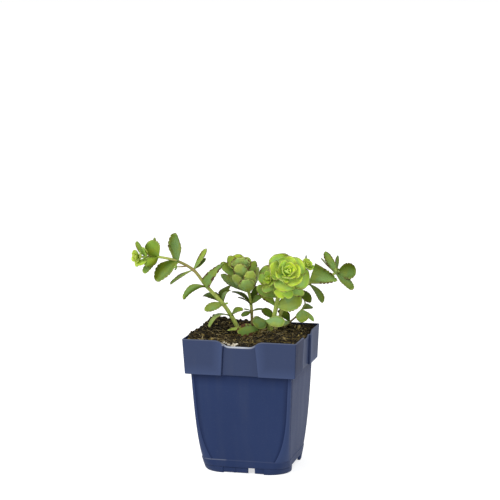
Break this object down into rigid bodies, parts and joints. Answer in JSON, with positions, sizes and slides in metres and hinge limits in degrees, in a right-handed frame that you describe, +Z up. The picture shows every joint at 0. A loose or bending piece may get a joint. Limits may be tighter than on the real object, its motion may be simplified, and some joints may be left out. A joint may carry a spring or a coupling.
{
  "type": "potted stonecrop",
  "caption": "Square tapering nursery pot of soil with branching succulent shoots: toothed spoon-shaped leaves in pairs and layered leaf rosettes at the tips.",
  "frame": {"origin": "centre of the pot's underside, on the surface it stands on", "axes": "+Z up along the pot's axis, -Y towards the pot's front side, +X to the right"},
  "size_m": [0.173, 0.092, 0.1873],
  "materials": {
    "pot": "satin dark blue moulded plastic",
    "soil": null,
    "leaf": null
  },
  "bodies": {
    "root": {"pot": "pot", "soil": "soil", "shoot_left": "leaf", "shoot_head": "leaf", "shoot_rosette": "leaf", "shoot_right": "leaf", "shoot_back": "leaf", "shoot_front": "leaf"}
  },
  "joints": []
}
